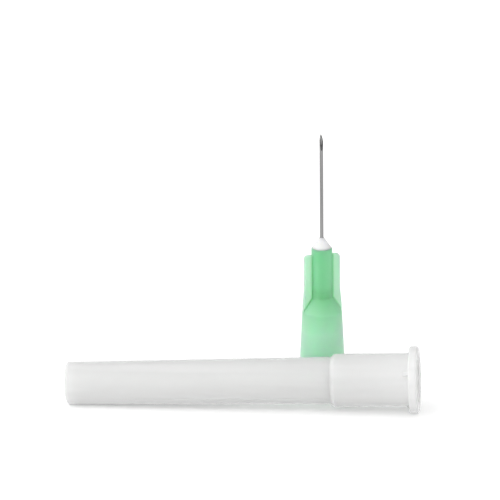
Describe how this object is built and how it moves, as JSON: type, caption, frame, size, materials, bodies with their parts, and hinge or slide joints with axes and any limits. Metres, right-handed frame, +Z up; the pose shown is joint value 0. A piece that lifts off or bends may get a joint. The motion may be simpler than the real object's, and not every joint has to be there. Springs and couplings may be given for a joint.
{
  "type": "hypodermic needle",
  "caption": "Stainless steel injection needle bonded in a translucent green finned hub with a taper socket, and its clear plastic sheath lying beside it.",
  "frame": {"origin": "centre of the hub's open base face, on the needle's axis", "axes": "+Z up the needle to its point, +X along the lying sheath from its closed end to its mouth, -Y towards the sheath"},
  "size_m": [0.0502, 0.0186, 0.0373],
  "materials": {
    "steel": "drawn and ground stainless steel",
    "green_polypropylene": "translucent moulded polypropylene",
    "resin": "milky cured adhesive",
    "clear_polypropylene": "translucent natural moulded plastic"
  },
  "bodies": {
    "root": {"cannula": "steel", "hub": "green_polypropylene", "adhesive": "resin", "sheath": "clear_polypropylene"}
  },
  "joints": []
}
